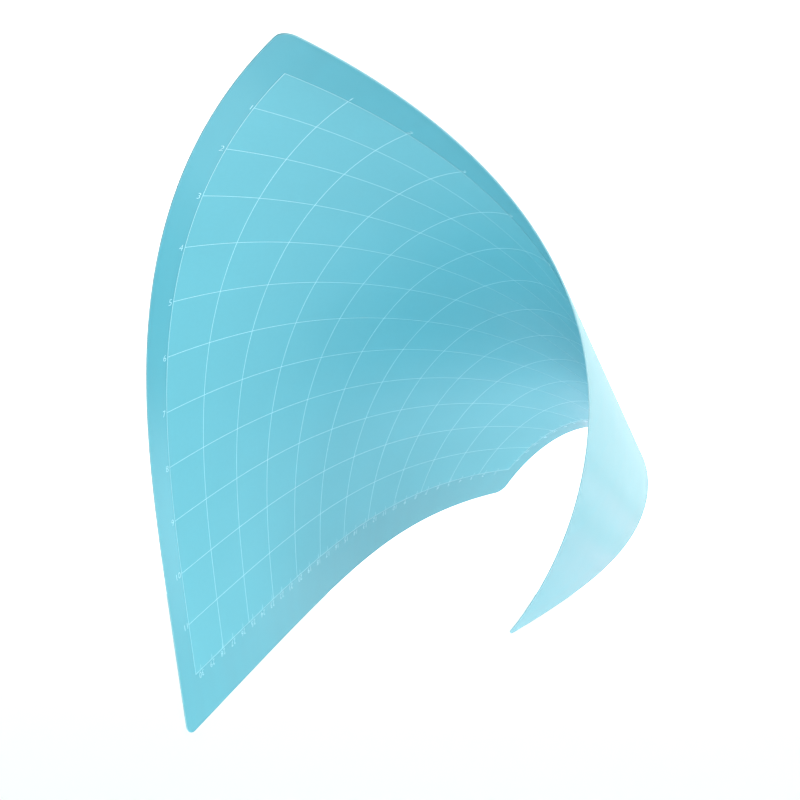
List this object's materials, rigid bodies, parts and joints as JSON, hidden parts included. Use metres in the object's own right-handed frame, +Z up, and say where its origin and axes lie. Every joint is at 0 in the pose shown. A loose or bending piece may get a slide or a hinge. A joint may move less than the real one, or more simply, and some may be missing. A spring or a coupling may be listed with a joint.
{
  "type": "cutting machine mat",
  "caption": "Thin flexible plastic cutting mat with a tacky gridded working area, held sprung into a deep diagonal curl; it opens out flat.",
  "frame": {"origin": "centre of the 12 x 12 inch working area, on the back face of the sheet", "axes": "+Z up as the mat is held in the picture; +Y runs away from the viewer, so the printed inside of the curl is seen looking along +Y; +X to the viewer's right"},
  "size_m": [0.2382, 0.431, 0.272],
  "materials": {
    "sheet_plastic": "light blue translucent-looking plastic sheet, softly glossy",
    "tack_coat": "clear light tack adhesive over the blue sheet, slightly greyer, with a faint mottle",
    "print_ink": "thin pale blue-white printed rules and numbers"
  },
  "bodies": {
    "band_01": {"sheet_band_01": "sheet_plastic", "tack_band_01": "tack_coat"},
    "band_02": {"sheet_band_02": "sheet_plastic", "tack_band_02": "tack_coat"},
    "band_03": {"sheet_band_03": "sheet_plastic", "tack_band_03": "tack_coat"},
    "band_04": {"sheet_band_04": "sheet_plastic", "tack_band_04": "tack_coat"},
    "band_05": {"sheet_band_05": "sheet_plastic", "tack_band_05": "tack_coat"},
    "band_06": {"sheet_band_06": "sheet_plastic", "tack_band_06": "tack_coat"},
    "band_07": {"sheet_band_07": "sheet_plastic", "tack_band_07": "tack_coat"},
    "band_08": {"sheet_band_08": "sheet_plastic", "tack_band_08": "tack_coat"},
    "band_09": {"sheet_band_09": "sheet_plastic", "tack_band_09": "tack_coat"},
    "band_10": {"sheet_band_10": "sheet_plastic", "tack_band_10": "tack_coat"},
    "band_11": {"sheet_band_11": "sheet_plastic", "tack_band_11": "tack_coat"},
    "band_12": {"sheet_band_12": "sheet_plastic", "tack_band_12": "tack_coat"},
    "band_13": {"sheet_band_13": "sheet_plastic", "tack_band_13": "tack_coat"},
    "band_14": {"sheet_band_14": "sheet_plastic", "tack_band_14": "tack_coat"},
    "band_15": {"sheet_band_15": "sheet_plastic", "tack_band_15": "tack_coat"},
    "band_16": {"sheet_band_16": "sheet_plastic", "tack_band_16": "tack_coat"},
    "band_17": {"sheet_band_17": "sheet_plastic", "tack_band_17": "tack_coat"},
    "band_18": {"sheet_band_18": "sheet_plastic", "tack_band_18": "tack_coat"},
    "band_19": {"sheet_band_19": "sheet_plastic", "tack_band_19": "tack_coat"},
    "band_20": {"sheet_band_20": "sheet_plastic", "tack_band_20": "tack_coat"},
    "band_21": {"sheet_band_21": "sheet_plastic", "tack_band_21": "tack_coat"},
    "band_22": {"sheet_band_22": "sheet_plastic", "tack_band_22": "tack_coat"},
    "band_23": {"sheet_band_23": "sheet_plastic", "tack_band_23": "tack_coat"},
    "band_24": {"sheet_band_24": "sheet_plastic", "tack_band_24": "tack_coat"},
    "band_25": {"sheet_band_25": "sheet_plastic", "tack_band_25": "tack_coat"},
    "band_26": {"sheet_band_26": "sheet_plastic", "tack_band_26": "tack_coat"},
    "band_27": {"sheet_band_27": "sheet_plastic", "tack_band_27": "tack_coat"},
    "band_28": {"sheet_band_28": "sheet_plastic"}
  },
  "joints": [
    {"name": "fold_01", "type": "hinge", "parent": "band_02", "child": "band_01", "pos_m": [-0.09687, -0.02949, -0.12233], "axis": [0.3345, 0.8611, -0.383], "range_deg": [0, 2.76]},
    {"name": "fold_02", "type": "hinge", "parent": "band_03", "child": "band_02", "pos_m": [-0.08921, -0.01854, -0.09566], "axis": [0.3415, 0.8703, -0.3548], "range_deg": [0, 4.53]},
    {"name": "fold_03", "type": "hinge", "parent": "band_04", "child": "band_03", "pos_m": [-0.082, -0.01118, -0.07623], "axis": [0.3422, 0.8709, -0.3528], "range_deg": [0, 5.94]},
    {"name": "fold_04", "type": "hinge", "parent": "band_05", "child": "band_04", "pos_m": [-0.07429, -0.00583, -0.06037], "axis": [0.3414, 0.8705, -0.3546], "range_deg": [0, 6.92]},
    {"name": "fold_05", "type": "hinge", "parent": "band_06", "child": "band_05", "pos_m": [-0.06568, -0.00193, -0.04672], "axis": [0.3417, 0.8705, -0.3541], "range_deg": [0, 7.55]},
    {"name": "fold_06", "type": "hinge", "parent": "band_07", "child": "band_06", "pos_m": [-0.056, 0.00078, -0.03473], "axis": [0.3447, 0.871, -0.35], "range_deg": [0, 7.92]},
    {"name": "fold_07", "type": "hinge", "parent": "band_08", "child": "band_07", "pos_m": [-0.04516, 0.00239, -0.02422], "axis": [0.3512, 0.8712, -0.343], "range_deg": [0, 8.1]},
    {"name": "fold_08", "type": "hinge", "parent": "band_09", "child": "band_08", "pos_m": [-0.03322, 0.00294, -0.01519], "axis": [0.3605, 0.8705, -0.3352], "range_deg": [0, 8.19]},
    {"name": "fold_09", "type": "hinge", "parent": "band_10", "child": "band_09", "pos_m": [-0.02034, 0.00247, -0.00776], "axis": [0.3701, 0.8688, -0.3289], "range_deg": [0, 8.28]},
    {"name": "fold_10", "type": "hinge", "parent": "band_11", "child": "band_10", "pos_m": [-0.00685, 0.00104, -0.00213], "axis": [0.3764, 0.8673, -0.3258], "range_deg": [0, 8.44]},
    {"name": "fold_11", "type": "hinge", "parent": "band_11", "child": "band_12", "pos_m": [0.00686, -0.00127, 0.00156], "axis": [-0.3759, -0.8674, 0.3259], "range_deg": [0, 8.69]},
    {"name": "fold_12", "type": "hinge", "parent": "band_12", "child": "band_13", "pos_m": [0.02035, -0.00431, 0.00322], "axis": [-0.3674, -0.8705, 0.3274], "range_deg": [0, 9.01]},
    {"name": "fold_13", "type": "hinge", "parent": "band_13", "child": "band_14", "pos_m": [0.03328, -0.00796, 0.00286], "axis": [-0.3517, -0.8769, 0.3276], "range_deg": [0, 9.34]},
    {"name": "fold_14", "type": "hinge", "parent": "band_14", "child": "band_15", "pos_m": [0.04537, -0.01206, 0.00052], "axis": [-0.332, -0.8857, 0.3244], "range_deg": [0, 9.66]},
    {"name": "fold_15", "type": "hinge", "parent": "band_15", "child": "band_16", "pos_m": [0.05638, -0.01647, -0.00368], "axis": [-0.3121, -0.8955, 0.3172], "range_deg": [0, 9.92]},
    {"name": "fold_16", "type": "hinge", "parent": "band_16", "child": "band_17", "pos_m": [0.06611, -0.02108, -0.00961], "axis": [-0.2954, -0.9046, 0.3071], "range_deg": [0, 10.12]},
    {"name": "fold_17", "type": "hinge", "parent": "band_17", "child": "band_18", "pos_m": [0.07436, -0.02575, -0.01712], "axis": [-0.284, -0.9117, 0.2968], "range_deg": [0, 10.24]},
    {"name": "fold_18", "type": "hinge", "parent": "band_18", "child": "band_19", "pos_m": [0.08097, -0.03036, -0.02602], "axis": [-0.278, -0.9162, 0.2886], "range_deg": [0, 10.28]},
    {"name": "fold_19", "type": "hinge", "parent": "band_19", "child": "band_20", "pos_m": [0.08579, -0.03479, -0.03609], "axis": [-0.276, -0.9181, 0.2845], "range_deg": [0, 10.22]},
    {"name": "fold_20", "type": "hinge", "parent": "band_20", "child": "band_21", "pos_m": [0.08869, -0.03894, -0.04712], "axis": [-0.276, -0.9181, 0.2844], "range_deg": [0, 10.07]},
    {"name": "fold_21", "type": "hinge", "parent": "band_21", "child": "band_22", "pos_m": [0.08959, -0.04272, -0.05886], "axis": [-0.2761, -0.9175, 0.2863], "range_deg": [0, 9.81]},
    {"name": "fold_22", "type": "hinge", "parent": "band_22", "child": "band_23", "pos_m": [0.08842, -0.04602, -0.0711], "axis": [-0.2761, -0.9175, 0.2863], "range_deg": [0, 9.46]},
    {"name": "fold_23", "type": "hinge", "parent": "band_23", "child": "band_24", "pos_m": [0.08514, -0.04877, -0.08365], "axis": [-0.278, -0.9191, 0.2792], "range_deg": [0, 9]},
    {"name": "fold_24", "type": "hinge", "parent": "band_24", "child": "band_25", "pos_m": [0.07969, -0.05092, -0.09636], "axis": [-0.2866, -0.9224, 0.2591], "range_deg": [0, 8.43]},
    {"name": "fold_25", "type": "hinge", "parent": "band_25", "child": "band_26", "pos_m": [0.07198, -0.0524, -0.10915], "axis": [-0.3096, -0.9252, 0.2196], "range_deg": [0, 7.75]},
    {"name": "fold_26", "type": "hinge", "parent": "band_26", "child": "band_27", "pos_m": [0.06183, -0.05318, -0.12202], "axis": [-0.3572, -0.9212, 0.1541], "range_deg": [0, 6.99]},
    {"name": "fold_27", "type": "hinge", "parent": "band_27", "child": "band_28", "pos_m": [0.04887, -0.05322, -0.13512], "axis": [-0.44, -0.8962, 0.0562], "range_deg": [0, 5.4]}
  ],
  "couplings": [
    {"joint": "fold_01", "follows": "fold_11", "ratio": 0.31742},
    {"joint": "fold_02", "follows": "fold_11", "ratio": 0.52132},
    {"joint": "fold_03", "follows": "fold_11", "ratio": 0.68403},
    {"joint": "fold_04", "follows": "fold_11", "ratio": 0.79654},
    {"joint": "fold_05", "follows": "fold_11", "ratio": 0.86931},
    {"joint": "fold_06", "follows": "fold_11", "ratio": 0.91144},
    {"joint": "fold_07", "follows": "fold_11", "ratio": 0.93238},
    {"joint": "fold_08", "follows": "fold_11", "ratio": 0.94267},
    {"joint": "fold_09", "follows": "fold_11", "ratio": 0.95299},
    {"joint": "fold_10", "follows": "fold_11", "ratio": 0.97129},
    {"joint": "fold_12", "follows": "fold_11", "ratio": 1.0363},
    {"joint": "fold_13", "follows": "fold_11", "ratio": 1.0749},
    {"joint": "fold_14", "follows": "fold_11", "ratio": 1.1112},
    {"joint": "fold_15", "follows": "fold_11", "ratio": 1.1418},
    {"joint": "fold_16", "follows": "fold_11", "ratio": 1.1648},
    {"joint": "fold_17", "follows": "fold_11", "ratio": 1.1787},
    {"joint": "fold_18", "follows": "fold_11", "ratio": 1.1827},
    {"joint": "fold_19", "follows": "fold_11", "ratio": 1.1761},
    {"joint": "fold_20", "follows": "fold_11", "ratio": 1.1584},
    {"joint": "fold_21", "follows": "fold_11", "ratio": 1.1293},
    {"joint": "fold_22", "follows": "fold_11", "ratio": 1.0884},
    {"joint": "fold_23", "follows": "fold_11", "ratio": 1.0353},
    {"joint": "fold_24", "follows": "fold_11", "ratio": 0.96966},
    {"joint": "fold_25", "follows": "fold_11", "ratio": 0.89202},
    {"joint": "fold_26", "follows": "fold_11", "ratio": 0.80483},
    {"joint": "fold_27", "follows": "fold_11", "ratio": 0.62111}
  ]
}
